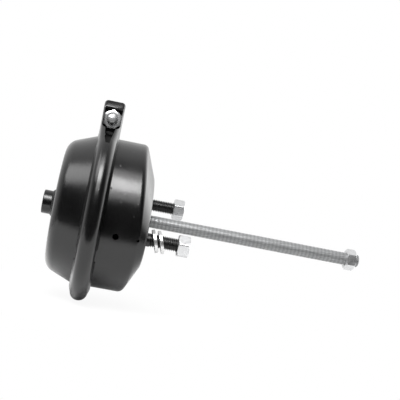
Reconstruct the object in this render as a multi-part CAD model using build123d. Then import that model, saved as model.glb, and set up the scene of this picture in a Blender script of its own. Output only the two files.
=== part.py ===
from build123d import *
import math
import os

# Service brake chamber, millimetres.
# The mounting face is the plane X = 0 and its centre is the origin. +X runs along the push rod towards
# its tip, +Z points to the clamp's ears, and the studs stand out of the face on a line through the centre.

# ---------------------------------------------------------------- driving sizes
# sheet steel housings
sheet = 3.2                    # thickness of both pressings
clamp_depth = 65.3             # mounting face back to the plane where the housings meet
wall_r = 92.2                  # outside of the non-pressure housing's cylindrical wall
shoulder_back = 16.1           # shoulder edge behind the mounting face
shoulder_round = 7.0
face_inset_long = 4.9          # oblong mounting face inside the wall's radius, along the stud line
face_inset_short = 42.7        # and across it
face_round = 4.5
bowl_depth = 47.0              # clamp plane to the pressure housing's shoulder plane
bowl_flare = 14.7              # how much the bowl's wall narrows from the other housing's to its shoulder
bowl_round = 17.0
bowl_crown = 3.0               # how far the end of the bowl bulges beyond its shoulder plane

# flanges and the clamp that squeezes them
flange_reach = 7.8             # outer edge of both flanges beyond the wall
wedge_angle = 18.0             # slope of flanges and clamp legs against the clamp plane
bead_half_edge = 4.2           # half the diaphragm bead's thickness at the flange edge
flange_bend = 4.0              # outside bend radius where the flange leaves the wall
clamp_sheet = 3.4
crest_room = 7.8               # flange edge to the inside of the band's crest
leg_grip = 5.0                 # how far the band's legs reach down past the flange edge
clamp_bend = 10.2              # outside bend radius of the band's channel
clamp_play = 0.15              # between a clamp leg and the flange it grips
notch_angle = 119.5            # relief notches in the legs, measured from the ears
notch_length = 16.5
notch_depth = 4.5

# clamp bolt and nut
clamp_bolt_d = 12.7
bolt_over_crest = 2.3          # bolt axis beyond the band's crest
clamp_nut_af = 21.0
clamp_nut_height = 12.0
clamp_bolt_head = 9.0
clamp_bolt_proud = 5.0         # bolt end beyond the nut
hole_play = 0.5                # bolt in its holes, radial

# clamp ears
ear_gap = 8.0                  # between the two ears
ear_plate = 5.0
ear_front = 15.0               # front of the ear's roof from the middle plane
ear_rise = 22.9                # top of the ear above the bolt axis
ear_front_rise = 16.0          # front edge of its roof above the bolt axis
ear_wall = 1.8                 # beside the nut pocket
ear_tangent_angle = 38.0       # where the ear's back leaves the round band
ear_round = 4.5
pocket_side_play = 0.5         # nut to the pocket's side walls
pocket_round = 5.0             # lower corners of the pocket
groove_half_wide = 4.0         # tapered groove below the pocket, at its upper end
groove_half_narrow = 1.2
groove_run = 28.0
groove_depth = 2.4             # less than the band's sheet

# studs and their nuts
stud_d = 15.875
stud_spacing = 120.65
stud_clock = 19.0              # stud line turned about X from the Y axis, near end down
stud_reach = 52.0              # near stud's end beyond the mounting face
far_stud_short = 3.8           # the far stud stands out less
stud_shank = 5.0               # plain length next to the face
thread_under = 0.16            # thread crest radius under the shank's
neck_over = 0.325              # side of the square neck over the stud's diameter
neck_play = 0.15
stud_head_over = 5.0           # head radius over the stud's
stud_head = 5.0
end_chamfer = 1.2
hex_face_share = 0.97          # end face circle of a nut or bolt head against its width across flats
nut_af = 23.8
nut_height = 13.9
nut_play = 0.05                # nut bore over the thread, radial

# split lock washers hanging on the near stud
washer_play = 1.3              # bore over the stud, radial
washer_wire = 4.55             # radial width of the ring's section
washer_thick = 4.0
washer_lean = 18.0             # lean of the ring's plane, its top towards the face
washer_drop = 0.1              # centre below the stud's axis
washer_gap = 3.0               # split
washer_gap_lean = 25.0         # slant of the split against the ring's axis
washer_places = (11.2, 18.5)   # centres in front of the mounting face

# push rod and what it carries
rod_d = 15.8
rod_tip = 274.3                # tip beyond the mounting face
rod_nut_back = 16.8            # tip back to the far side of the jam nut
jam_nut_height = 11.7
plate_in_bowl = 16.8           # push plate's edge inside the bowl's shoulder radius
plate_thick = 4.0
plate_lip = 7.0                # height of the turned-up edge
plate_round = 4.5              # its outside bend
rod_weld_leg = 6.0

# diaphragm
rubber = 3.6
rubber_to_bowl = 1.6           # behind the diaphragm's flat centre
rubber_to_wall = 1.2           # beside its sloping side
rubber_round = 10.0
soft_gap = 0.3                 # rubber to the pieces that move against it

# stud plate, rod guide and return spring
stud_plate = 5.0
plate_end_room = 4.0           # stud plate's end to the inside of the face's edge
plate_side_room = 14.0
guide_hole_r = 21.0
guide_play = 0.2
guide_flange = 4.0
guide_flange_over = 6.0        # guide's flange beyond the spring's narrow coil line
guide_bore_play = 0.3
guide_under_face = 0.4
spring_wire = 5.0
spring_wire_sides = 8          # the round wire is drawn with this many flats
spring_in_plate = 6.0          # wide coil line inside the push plate's turned-up edge
spring_narrow_r = 33.0         # coil centre line at the guide
spring_turns = 5.0
seat_gap = 0.1                 # between pieces that rest against each other

# air port
boss_r = 14.5
boss_length = 13.6
boss_chamfer = 1.0
port_r = 7.2
port_through_r = 9.5           # hole in the bowl behind the boss
weld_leg = 3.0

# vent holes
vent_r = 3.8
vent_angle = 103.5             # from the ears, on the near side; the other pair is opposite
vent_from_clamp = 29.4
shoulder_vent_back = 12.0      # centre behind the mounting face
shoulder_vent_sunk = 3.0       # and inside the cylindrical wall's radius
shoulder_vent_lean = 40.0      # its drill leans towards the mounting face

# working values that are not sizes of the chamber
cut_past = 1.0                 # how far a cutting solid runs past what it cuts
edge_search = 0.5              # how near an edge lies to the plane where it is looked for

# ---------------------------------------------------------------- worked out from them
clamp_x = -clamp_depth
wedge = math.tan(math.radians(wedge_angle))
slant = 1 / math.cos(math.radians(wedge_angle))      # a sheet's thickness measured along X
face_half_length = wall_r - face_inset_long
face_half_width = wall_r - face_inset_short
bowl_shoulder_r = wall_r - bowl_flare                 # where the bowl's wall would meet its shoulder plane
flange_r = wall_r + flange_reach                      # outer edge of both flanges
clamp_lip_r = flange_r - leg_grip                     # where the band's legs end
clamp_crest_r = flange_r + crest_room + clamp_sheet   # outermost radius of the band
clamp_bolt_height = clamp_crest_r + bolt_over_crest
ear_top = clamp_bolt_height + ear_rise
ear_front_top = clamp_bolt_height + ear_front_rise
ear_half_width = clamp_nut_af / 2 + pocket_side_play + ear_wall
flange_inner = bead_half_edge + clamp_play            # flange's inner face at its edge, from the clamp plane
flange_outer = flange_inner + sheet * slant
leg_inner = flange_outer + clamp_play * slant         # clamp leg's inner face at the flange edge's radius
leg_outer = leg_inner + clamp_sheet * slant
bowl_x = clamp_x - bowl_depth
stud_r = stud_d / 2
thread_r = stud_r - thread_under
stud_neck = stud_d + neck_over
stud_head_r = stud_r + stud_head_over
washer_bore_r = stud_r + washer_play
washer_outer_r = washer_bore_r + washer_wire
stud_plate_half_length = face_half_length - sheet - plate_end_room
stud_plate_half_width = face_half_width - sheet - plate_side_room
plate_r = bowl_shoulder_r - plate_in_bowl             # push plate
spring_wide_r = plate_r - plate_thick - spring_in_plate
guide_flange_r = spring_narrow_r + guide_flange_over
rod_r = rod_d / 2
bolt_r = clamp_bolt_d / 2
inner_face_x = -sheet                                 # inside of the mounting wall
plate_back_x = inner_face_x - seat_gap - stud_plate   # chamber side of the stud plate
guide_seat_x = plate_back_x - seat_gap - guide_flange
rubber_back_x = bowl_x + sheet + rubber_to_bowl
plate_x = rubber_back_x + rubber + soft_gap           # diaphragm side of the push plate
spring_low_x = plate_x + plate_thick + seat_gap
spring_high_x = guide_seat_x - seat_gap


def wedge_s(at_edge, r):
    """Distance from the clamp plane, at radius r, of a sloping face that is at_edge at the flange's edge."""
    return at_edge + (flange_r - r) * wedge


def outline(points, rounds=()):
    """A face from (x, radius) points, with (index, radius) corner rounds."""
    face = make_face(Polyline(*points, close=True))
    for index, radius in rounds:
        corner = face.vertices().sort_by_distance((*points[index], 0))[0]
        face = fillet(corner, radius)
    return face


def turned(points, rounds=()):
    """The outline turned about the X axis."""
    return revolve(outline(points, rounds), Axis.X)


def rod_along_x(radius, start, end):
    return Pos(start, 0, 0) * Rot(0, 90, 0) * extrude(Circle(radius), end - start)


def on_stud_line(shape, side):
    """Places a shape made on the X axis at a stud: side -1 is the near stud and 1 the far one."""
    angle = math.radians(stud_clock)
    y = side * stud_spacing / 2 * math.cos(angle)
    z = side * stud_spacing / 2 * math.sin(angle)
    return Pos(0, y, z) * Rot(stud_clock, 0, 0) * shape


def stud_end(side):
    """End of the stud on one side, beyond the mounting face."""
    return stud_reach - (far_stud_short if side > 0 else 0)


def hex_block(across_flats, height, bore_r=0.0):
    """A hexagon standing on Z = 0 with both ends chamfered and an optional bore."""
    corner_r = across_flats / 2 / math.cos(math.radians(30))
    rim = across_flats / 2 * hex_face_share
    drop = (corner_r - rim) * math.tan(math.radians(30))
    half = [(0, 0), (rim, 0), (corner_r, drop), (corner_r, height - drop), (rim, height), (0, height)]
    cone = revolve(Plane.XZ * make_face(Polyline(*half, close=True)), Axis.Z)
    block = extrude(RegularPolygon(corner_r, 6), height) & cone
    if bore_r > 0:
        block -= Cylinder(bore_r, 3 * height)
    return block


def band_ends(face_s, r_low, r_high, side):
    """Two points of a sloping clamp face on one side, low radius first."""
    low = (clamp_x + side * wedge_s(face_s, r_low), r_low)
    high = (clamp_x + side * wedge_s(face_s, r_high), r_high)
    return low, high


# ---------------------------------------------------------------- housings
def bowl_wall(inset):
    """Flange face, rim and shoulder corners of the bowl moved inwards by inset, from the clamp plane."""
    rim_s = wedge_s(flange_outer, wall_r)
    slope = (wall_r - bowl_shoulder_r) / (bowl_depth - rim_s)
    across = inset * math.sqrt(1 + slope ** 2)                  # the inset measured along the radius
    flange_s = flange_outer - inset * slant
    level = wall_r + slope * rim_s - across                  # wall's radius carried on to the clamp plane
    corner_s = (flange_r + flange_s / wedge - level) / (1 / wedge - slope)
    end_s = bowl_depth - inset
    return flange_s, (corner_s, level - slope * corner_s), (end_s, level - slope * end_s)


def bowl_form(inset):
    """Filled bowl: flange edge, sloping wall, shoulder and a crowned end, all moved inwards by inset."""
    flange_s, rim, shoulder = bowl_wall(inset)
    points = [(0, 0), (0, flange_r), (-flange_s, flange_r), (-rim[0], rim[1]), (-shoulder[0], shoulder[1]),
              (-shoulder[0] - bowl_crown, 0)]
    return turned([(clamp_x + s, r) for s, r in points], [(3, flange_bend + inset), (4, bowl_round - inset)])


def make_pressure_housing():
    body = bowl_form(0) - bowl_form(sheet)
    return body - rod_along_x(port_through_r, bowl_x - 3 * boss_length, bowl_x + boss_length)


def station(x):
    """A plane across the chamber at x, its first axis on the stud line."""
    angle = math.radians(stud_clock)
    return Plane(origin=(x, 0, 0), x_dir=(0, math.cos(angle), math.sin(angle)), z_dir=(1, 0, 0))


def end_form(wall, half_length, half_width, shoulder_x, face_x, shoulder_r, edge_r):
    """Cylinder that runs from the clamp plane to the shoulder and on into the oblong face."""
    circle = station(shoulder_x) * Circle(wall)
    barrel = extrude(circle, clamp_x - shoulder_x)
    nose = loft([circle, station(face_x) * Ellipse(half_length, half_width)], ruled=True)
    form = barrel + nose
    shoulder = [e for e in form.edges() if abs(e.center().X - shoulder_x) < edge_search]
    form = fillet(shoulder, shoulder_r)
    rim = form.edges().sort_by(lambda e: e.center().X)[-1]
    return fillet(rim, edge_r)


def make_non_pressure_housing():
    outer = end_form(wall_r, face_half_length, face_half_width, -shoulder_back, 0, shoulder_round, face_round)
    tip = (clamp_x + flange_outer, flange_r)
    corner = (clamp_x + wedge_s(flange_outer, wall_r), wall_r)
    outer += turned([(clamp_x, wall_r - sheet), (clamp_x, flange_r), tip, corner,
                     (corner[0] + 3 * flange_bend, wall_r), (corner[0] + 3 * flange_bend, wall_r - sheet)],
                    [(3, flange_bend)])
    inner = end_form(wall_r - sheet, face_half_length - sheet, face_half_width - sheet,
                     -shoulder_back, -sheet, shoulder_round - sheet / 2, face_round - sheet / 2)
    throat_r = wall_r - sheet
    inner_tip = (clamp_x + flange_inner, flange_r)
    inner_corner = (clamp_x + wedge_s(flange_inner, throat_r), throat_r)
    inner += turned([(clamp_x, 0), (clamp_x, flange_r), inner_tip, inner_corner,
                     (inner_corner[0] + 3 * flange_bend, throat_r), (inner_corner[0] + 3 * flange_bend, 0)],
                    [(3, flange_bend + sheet)])
    body = outer - inner
    body -= rod_along_x(guide_hole_r, -2 * sheet, sheet)
    for side in (-1, 1):
        body -= on_stud_line(neck_hole(-2 * sheet, sheet), side)
    for turn in (0, 180):
        body -= Rot(turn, 0, 0) * vent_drills()
    return body


def neck_hole(start, end):
    side = stud_neck + 2 * neck_play
    return Pos((start + end) / 2, 0, 0) * Box(end - start, side, side)


def vent_drills():
    """Radial drill for the wall vent and a slanted one for the shoulder vent, on the near side."""
    drill = Cylinder(vent_r, 3 * wall_r, align=(Align.CENTER, Align.CENTER, Align.MIN))
    wall = Pos(clamp_x + vent_from_clamp, 0, 0) * drill
    shoulder = Pos(-shoulder_vent_back, 0, wall_r - shoulder_vent_sunk) * Rot(0, shoulder_vent_lean, 0)
    shoulder *= Cylinder(vent_r, 2 * clamp_depth / 3)
    return Rot(vent_angle, 0, 0) * (wall + shoulder)


# ---------------------------------------------------------------- air port
def make_port_boss():
    crown = bowl_x - bowl_crown
    start = crown - seat_gap
    end = start - boss_length
    boss = turned([(start, port_r), (start, boss_r), (end, boss_r), (end, port_r)])
    ends = [e for e in boss.edges() if abs(e.center().X - end) < edge_search]
    return chamfer(ends, boss_chamfer)


def make_port_weld():
    crown = bowl_x - bowl_crown
    start = crown - seat_gap
    foot = boss_r + seat_gap
    return turned([(start, foot), (start, foot + weld_leg), (start - weld_leg, foot)])


# ---------------------------------------------------------------- clamp band
def band_face(face_s, top_r, low_r, round_r):
    """Corner points of the band's section between two sloping legs, and the rounds of its crest."""
    left_low, left_top = band_ends(face_s, low_r, top_r, -1)
    right_low, right_top = band_ends(face_s, low_r, top_r, 1)
    return [left_low, left_top, right_top, right_low], [(1, round_r), (2, round_r)]


def make_clamp_band():
    """Channel ring with a gap at the top, an ear on each side of it and relief notches in its legs."""
    outer_points, outer_rounds = band_face(leg_outer, clamp_crest_r, clamp_lip_r, clamp_bend)
    near = make_ear(outer_points, outer_rounds)
    band = turned(outer_points, outer_rounds) + near + mirror(near, Plane.XZ)
    inner_points, inner_rounds = band_face(leg_inner, clamp_crest_r - clamp_sheet, clamp_lip_r - clamp_sheet,
                                           clamp_bend - clamp_sheet)
    band -= turned(inner_points, inner_rounds)
    wide = 4 * ear_half_width
    band -= rod_along_x(clamp_lip_r, clamp_x - wide / 2, clamp_x + wide / 2)
    band -= Pos(clamp_x, 0, ear_top) * Box(wide, ear_gap, 2 * (ear_top - clamp_lip_r + clamp_sheet))
    cut = make_ear_cuts()
    band = band - cut - mirror(cut, Plane.XZ)
    for turn in (notch_angle, -notch_angle):
        band -= Rot(turn, 0, 0) * Pos(clamp_x, 0, clamp_lip_r) * Box(wide, notch_length, 2 * notch_depth)
    return band


def make_ear(points, rounds):
    """Solid ear on the near side: the band's section lofted into a square one, and the roofed plate."""
    turn = Rot(90 + ear_tangent_angle, 0, 0)
    start = turn * outline(points, rounds)
    low, high = clamp_lip_r, ear_front_top
    left, right = clamp_x - ear_half_width, clamp_x + ear_half_width
    corners = [(left, low), (left, high), (right, high), (right, low)]
    end = Pos(0, -ear_front, 0) * Rot(90, 0, 0) * outline(corners, [(1, ear_round), (2, ear_round)])
    back = loft([start, end], ruled=True)
    middle = ear_gap / 2
    side = Plane.YZ * make_face(Polyline((-middle, low), (-middle, ear_top), (-middle - ear_plate, ear_top),
                                         (-ear_front, ear_front_top), (-ear_front, low), close=True))
    plate = Pos(left, 0, 0) * extrude(side, 2 * ear_half_width)
    top = [e for e in plate.edges() if e.center().Z > ear_front_top and abs(e.center().X - clamp_x) > ear_round]
    plate = fillet(top, ear_round)
    return back + plate


def pocket_block(start, low, high):
    """Block of the nut pocket's width that runs outwards along Y from start, its lower corners rounded."""
    half = clamp_nut_af / 2 + pocket_side_play
    corners = [(clamp_x - half, high), (clamp_x - half, low), (clamp_x + half, low), (clamp_x + half, high)]
    shape = outline(corners, [(1, pocket_round), (2, pocket_round)])
    return extrude(Pos(0, -start, 0) * Rot(90, 0, 0) * shape, clamp_crest_r)


def make_ear_cuts():
    """Nut pocket under the ear's roof, bolt hole and tapered groove on the near side."""
    seat = ear_gap / 2 + ear_plate
    reach = clamp_nut_af / 2 / math.cos(math.radians(30)) + pocket_side_play
    low = clamp_bolt_height - reach
    pocket = pocket_block(seat, low, clamp_bolt_height + reach) + pocket_block(ear_front, low, ear_top)
    hole = Pos(clamp_x, 0, clamp_bolt_height) * Rot(90, 0, 0) * Cylinder(bolt_r + hole_play, 4 * seat)
    turn = math.radians(ear_tangent_angle)
    top = (low - clamp_crest_r * math.cos(turn)) / math.sin(turn)     # where the ear's back meets the pocket
    end = top - groove_run
    groove = make_face(Polyline((clamp_x - groove_half_wide, top), (clamp_x + groove_half_wide, top),
                                (clamp_x + groove_half_narrow, end), (clamp_x - groove_half_narrow, end),
                                close=True))
    place = Rot(ear_tangent_angle, 0, 0) * Pos(0, 0, clamp_crest_r - groove_depth)
    return pocket + hole + place * extrude(groove, ear_top - clamp_crest_r)


def make_clamp_bolt():
    """Hexagon bolt from the far ear, its thread end at the near nut."""
    seat = ear_gap / 2 + ear_plate
    end = seat + clamp_nut_height + clamp_bolt_proud
    length = end + seat
    shank = extrude(Circle(bolt_r), length)
    shank = chamfer(shank.faces().sort_by(Axis.Z)[-1].edges(), end_chamfer)
    head = Pos(0, 0, -clamp_bolt_head) * Rot(0, 0, 30) * hex_block(clamp_nut_af, clamp_bolt_head)
    return Pos(clamp_x, seat + seat_gap, clamp_bolt_height) * Rot(90, 0, 0) * (shank + head)


def make_clamp_nut():
    seat = ear_gap / 2 + ear_plate + seat_gap
    nut = Rot(0, 0, 30) * hex_block(clamp_nut_af, clamp_nut_height, bolt_r + nut_play)
    return Pos(clamp_x, -seat, clamp_bolt_height) * Rot(90, 0, 0) * nut


# ---------------------------------------------------------------- studs, nuts and lock washers
def make_stud(side):
    """Round head inside, square neck through the plate and wall, shank at the face, then thread."""
    neck_start = plate_back_x
    head = rod_along_x(stud_head_r, neck_start - seat_gap - stud_head, neck_start - seat_gap)
    neck = Pos((neck_start - seat_gap) / 2, 0, 0) * Box(-(neck_start - seat_gap), stud_neck, stud_neck)
    shank = rod_along_x(stud_r, 0, stud_shank)
    thread = rod_along_x(thread_r, stud_shank, stud_end(side))
    thread = chamfer(thread.edges().sort_by(lambda e: e.center().X)[-1], end_chamfer)
    return on_stud_line(head + neck + shank + thread, side)


def make_stud_nut(side):
    nut = Rot(0, 90, 0) * hex_block(nut_af, nut_height, thread_r + nut_play)
    return on_stud_line(Pos(stud_end(side) - nut_height, 0, 0) * nut, side)


def make_lock_washer(place):
    """One turn of square wire with a split, leaning on the near stud."""
    mean_r = (washer_outer_r + washer_bore_r) / 2
    width = washer_outer_r - washer_bore_r
    opening = math.degrees(washer_gap / mean_r)
    ring = extrude(Circle(washer_outer_r) - Circle(washer_bore_r), washer_thick)
    split = Rot(0, 0, 90) * Pos(mean_r, 0, washer_thick / 2) * Rot(washer_gap_lean, 0, 0)
    split *= Box(2 * width, washer_gap, 3 * washer_thick)
    ring = Pos(0, 0, -washer_thick / 2) * (ring - split)
    ring = Rot(0, 90, 0) * ring
    ring = Rot(0, -washer_lean, 0) * ring
    angle = math.radians(stud_clock)
    y = -stud_spacing / 2 * math.cos(angle)
    z = -stud_spacing / 2 * math.sin(angle) - washer_drop
    return Pos(place, y, z) * ring


# ---------------------------------------------------------------- inner pieces
def make_stud_plate():
    shape = station(plate_back_x) * SlotOverall(2 * stud_plate_half_length, 2 * stud_plate_half_width)
    plate = extrude(shape, stud_plate)
    plate -= rod_along_x(guide_hole_r, plate_back_x - cut_past, cut_past)
    for side in (-1, 1):
        plate -= on_stud_line(neck_hole(plate_back_x - cut_past, cut_past), side)
    return plate


def make_rod_guide():
    """Flanged bush: its tube fills the centre hole and its flange carries the spring."""
    bore = rod_r + guide_bore_play
    tube = guide_hole_r - guide_play
    guide = turned([(guide_seat_x, bore), (guide_seat_x, guide_flange_r),
                    (guide_seat_x + guide_flange, guide_flange_r), (guide_seat_x + guide_flange, tube),
                    (-guide_under_face, tube), (-guide_under_face, bore)])
    return guide


def make_diaphragm():
    """Wedge bead between the flanges and a cup that lies in the bowl."""
    bead_edge = flange_r - clamp_play
    rim, shoulder = bowl_wall(sheet + rubber_to_wall)[1:]
    inner_rim = bowl_wall(sheet + rubber_to_wall + rubber)[1]
    back = clamp_x - rubber_back_x
    slope = (rim[1] - shoulder[1]) / (shoulder[0] - rim[0])
    root_r = rim[1] + rubber_to_wall
    root_s = wedge_s(bead_half_edge, root_r)
    points = [(wedge_s(bead_half_edge, bead_edge), bead_edge), (-wedge_s(bead_half_edge, bead_edge), bead_edge),
              (-root_s, root_r), (-rim[0] - rubber_to_wall, rim[1] - slope * rubber_to_wall),
              (-back, rim[1] - slope * (back - rim[0])), (-back, 0), (rubber - back, 0),
              (rubber - back, inner_rim[1] - slope * (back - rubber - inner_rim[0])),
              (-inner_rim[0] / 2, inner_rim[1] + slope * inner_rim[0] / 2), (root_s, root_r)]
    return turned([(clamp_x + s, r) for s, r in points], [(4, rubber_round + rubber), (7, rubber_round)])


def make_push_plate():
    """Pressed disc with its edge turned up towards the spring."""
    inner_r = plate_r - plate_thick
    return turned([(plate_x, 0), (plate_x, plate_r), (plate_x + plate_lip, plate_r),
                   (plate_x + plate_lip, inner_r), (plate_x + plate_thick, inner_r), (plate_x + plate_thick, 0)],
                  [(1, plate_round)])


def make_push_rod():
    start = plate_x + plate_thick
    rod = rod_along_x(rod_r, start, rod_tip)
    return chamfer(rod.edges().sort_by(lambda e: e.center().X)[-1], end_chamfer)


def make_rod_weld():
    start = plate_x + plate_thick
    return turned([(start, rod_r), (start, rod_r + rod_weld_leg), (start + rod_weld_leg, rod_r)])


def make_rod_nut():
    nut = Rot(0, 90, 0) * hex_block(nut_af, jam_nut_height, rod_r + nut_play)
    return Pos(rod_tip - rod_nut_back, 0, 0) * nut


def make_return_spring():
    """Conical spring of many-sided wire: wide coil on the push plate, narrow coil on the guide's flange."""
    start = spring_low_x + spring_wire / 2
    end = spring_high_x - spring_wire / 2
    height = end - start
    cone = -math.degrees(math.atan((spring_wide_r - spring_narrow_r) / height))
    path = Helix(height / spring_turns, height, spring_wide_r, cone_angle=cone)
    section = Plane(origin=path @ 0, z_dir=path % 0) * RegularPolygon(spring_wire / 2, spring_wire_sides)
    coil = sweep(section, path=path, is_frenet=True)
    return Pos(start, 0, 0) * Rot(0, 90, 0) * coil


# ---------------------------------------------------------------- write every piece
os.makedirs("parts", exist_ok=True)
pieces = {
    "pressure_housing": make_pressure_housing(),
    "port_boss": make_port_boss(),
    "port_weld": make_port_weld(),
    "non_pressure_housing": make_non_pressure_housing(),
    "stud_plate": make_stud_plate(),
    "mounting_stud_near": make_stud(-1),
    "mounting_stud_far": make_stud(1),
    "mounting_nut_near": make_stud_nut(-1),
    "mounting_nut_far": make_stud_nut(1),
    "lock_washer_inner": make_lock_washer(washer_places[0]),
    "lock_washer_outer": make_lock_washer(washer_places[1]),
    "clamp_band": make_clamp_band(),
    "clamp_bolt": make_clamp_bolt(),
    "clamp_nut": make_clamp_nut(),
    "diaphragm": make_diaphragm(),
    "push_plate": make_push_plate(),
    "push_rod": make_push_rod(),
    "rod_weld": make_rod_weld(),
    "rod_nut": make_rod_nut(),
    "return_spring": make_return_spring(),
    "rod_guide": make_rod_guide(),
}
for name, piece in pieces.items():
    export_step(piece, f"parts/{name}.step")
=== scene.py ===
from math import acos, cos, hypot, pi, radians, sin, sqrt, tan

import bmesh
import bpy
from mathutils import Matrix, Vector


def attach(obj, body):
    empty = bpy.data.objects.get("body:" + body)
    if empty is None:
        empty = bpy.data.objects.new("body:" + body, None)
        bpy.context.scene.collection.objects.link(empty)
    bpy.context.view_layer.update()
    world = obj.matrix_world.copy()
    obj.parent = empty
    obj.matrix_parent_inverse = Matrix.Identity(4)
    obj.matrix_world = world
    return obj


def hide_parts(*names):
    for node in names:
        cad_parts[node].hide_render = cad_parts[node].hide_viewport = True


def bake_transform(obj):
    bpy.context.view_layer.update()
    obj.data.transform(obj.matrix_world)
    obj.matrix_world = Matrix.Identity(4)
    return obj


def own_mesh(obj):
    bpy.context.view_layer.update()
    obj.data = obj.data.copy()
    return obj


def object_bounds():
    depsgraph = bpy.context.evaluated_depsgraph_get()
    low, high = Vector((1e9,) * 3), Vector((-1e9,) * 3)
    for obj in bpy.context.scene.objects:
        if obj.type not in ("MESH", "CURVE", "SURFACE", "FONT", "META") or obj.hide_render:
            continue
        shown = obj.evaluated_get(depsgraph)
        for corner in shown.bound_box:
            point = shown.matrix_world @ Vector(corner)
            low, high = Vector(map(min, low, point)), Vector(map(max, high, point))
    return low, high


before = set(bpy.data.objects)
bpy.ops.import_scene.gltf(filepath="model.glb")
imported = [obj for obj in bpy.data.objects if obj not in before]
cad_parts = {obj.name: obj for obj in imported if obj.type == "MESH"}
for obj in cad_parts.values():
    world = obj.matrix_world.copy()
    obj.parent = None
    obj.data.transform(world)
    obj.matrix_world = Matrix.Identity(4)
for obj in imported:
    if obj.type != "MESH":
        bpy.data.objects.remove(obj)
cad_low, cad_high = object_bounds()
mm = 0.001  # one millimetre in the scene's metres

# -------------------------------- camera
# It stands level with the chamber a metre away, a little to the port side, and is rolled so that the push
# rod runs down to the right.
camera_place = Vector((-59.2, -1055.2, 38.1)) * mm
camera_heading = radians(6.474)
camera_roll = radians(11.116)
focal_widths = 2.125  # focal length in sensor widths

camera_data = bpy.data.cameras.new("camera")
camera = bpy.data.objects.new("camera", camera_data)
bpy.context.scene.collection.objects.link(camera)
camera_data.lens = focal_widths * camera_data.sensor_width
camera_data.clip_start = 0.05
ahead = Vector((sin(camera_heading), cos(camera_heading), 0))
level = Vector((cos(camera_heading), -sin(camera_heading), 0))
upright = Vector((0, 0, 1))
across = cos(camera_roll) * level + sin(camera_roll) * upright
above = cos(camera_roll) * upright - sin(camera_roll) * level
camera.matrix_world = Matrix.Translation(camera_place) @ Matrix((across, above, -ahead)).transposed().to_4x4()
bpy.context.scene.camera = camera

# -------------------------------- studio
# A pale table and a white room behind it. The side that the camera stands on is dark, which the black paint
# mirrors, with a lamp in a wider cloth above it, a second box on the port's side and a bright wall past the
# rod's end.
scene = bpy.context.scene
scene.view_settings.view_transform = "Standard"


def node_adder(tree):
    """A function that adds a node to the tree, sets its options and inputs, and links what is an output."""
    def add(kind, options=None, **inputs):
        node = tree.nodes.new(kind)
        for key, value in (options or {}).items():
            setattr(node, key, value)
        for key, value in inputs.items():
            numbered = key[0] == "i" and key[1:].isdigit()
            socket = node.inputs[int(key[1:]) if numbered else key.replace("_", " ")]
            if isinstance(value, bpy.types.NodeSocket):
                tree.links.new(value, socket)
            else:
                socket.default_value = value
        return node
    return add


def bare_tree(holder):
    """The node adder of a world or a material, whose own nodes are cleared away."""
    holder.use_nodes = True
    holder.node_tree.nodes.clear()
    return node_adder(holder.node_tree)


def reckoner(add):
    """A function that adds a Math node and gives its result."""
    return lambda operation, a, b=0.0: add("ShaderNodeMath", {"operation": operation}, i0=a, i1=b).outputs[0]


world = bpy.data.worlds.new("studio")
scene.world = world
air = bare_tree(world)


def wall(towards, dark_until, full_from, dark, bright):
    """Brightness of the room that grows softly towards one direction."""
    view = air("ShaderNodeTexCoord").outputs["Generated"]
    direction = Vector(towards).normalized()
    along = air("ShaderNodeVectorMath", {"operation": "DOT_PRODUCT"}, i0=view, i1=direction)
    share = air("ShaderNodeMapRange", {"interpolation_type": "SMOOTHSTEP"}, Value=along.outputs["Value"],
                From_Min=dark_until, From_Max=full_from, To_Min=dark, To_Max=bright)
    return share.outputs[0]


white_room = wall((0, 1, 0), -0.55, 0.35, 0.02, 1.0)
bright_wall = wall((0.85, 0.48, 0.18), 0.7, 0.97, 0.0, 1.9)
camera_ray = air("ShaderNodeLightPath").outputs["Is Camera Ray"]
both_walls = reckoner(air)("ADD", white_room, bright_wall)
seen = air("ShaderNodeMix", {"data_type": "FLOAT"}, i0=camera_ray, i2=both_walls, i3=1.0)
sky = air("ShaderNodeBackground", Color=(1, 1, 1, 1), Strength=seen.outputs[0])
air("ShaderNodeOutputWorld", Surface=sky.outputs[0])


def soft_box(name, place, aim, width, height, power):
    """A rectangular lamp at place, turned towards aim."""
    data = bpy.data.lights.new(name, "AREA")
    data.shape = "RECTANGLE"
    data.size = width
    data.size_y = height
    data.energy = power
    lamp = bpy.data.objects.new(name, data)
    scene.collection.objects.link(lamp)
    lamp.location = place
    lamp.rotation_euler = (Vector(aim) - Vector(place)).to_track_quat("-Z", "Y").to_euler()


soft_box("key_core", (-0.33, -1.0, 1.1), (-0.33, 0, 0), 0.95, 0.5, 26)
soft_box("key_cloth", (-0.33, -1.0, 1.1), (-0.33, 0, 0), 0.95, 1.25, 16)
soft_box("port_side_box", (-1.15, -0.5, 1.15), (-0.09, 0, 0), 0.8, 0.7, 9)

table_x = (-0.38, 0.7)  # its edges, in metres
table_y = (-0.21, 1.2)
floor_mesh = bpy.data.meshes.new("table_top")
floor_mesh.from_pydata([(table_x[i], table_y[j], cad_low.z) for i, j in ((0, 0), (1, 0), (1, 1), (0, 1))],
                       [], [(0, 1, 2, 3)])
floor = bpy.data.objects.new("table_top", floor_mesh)
scene.collection.objects.link(floor)
pale = bpy.data.materials.new("pale_table")
top = bare_tree(pale)
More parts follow.
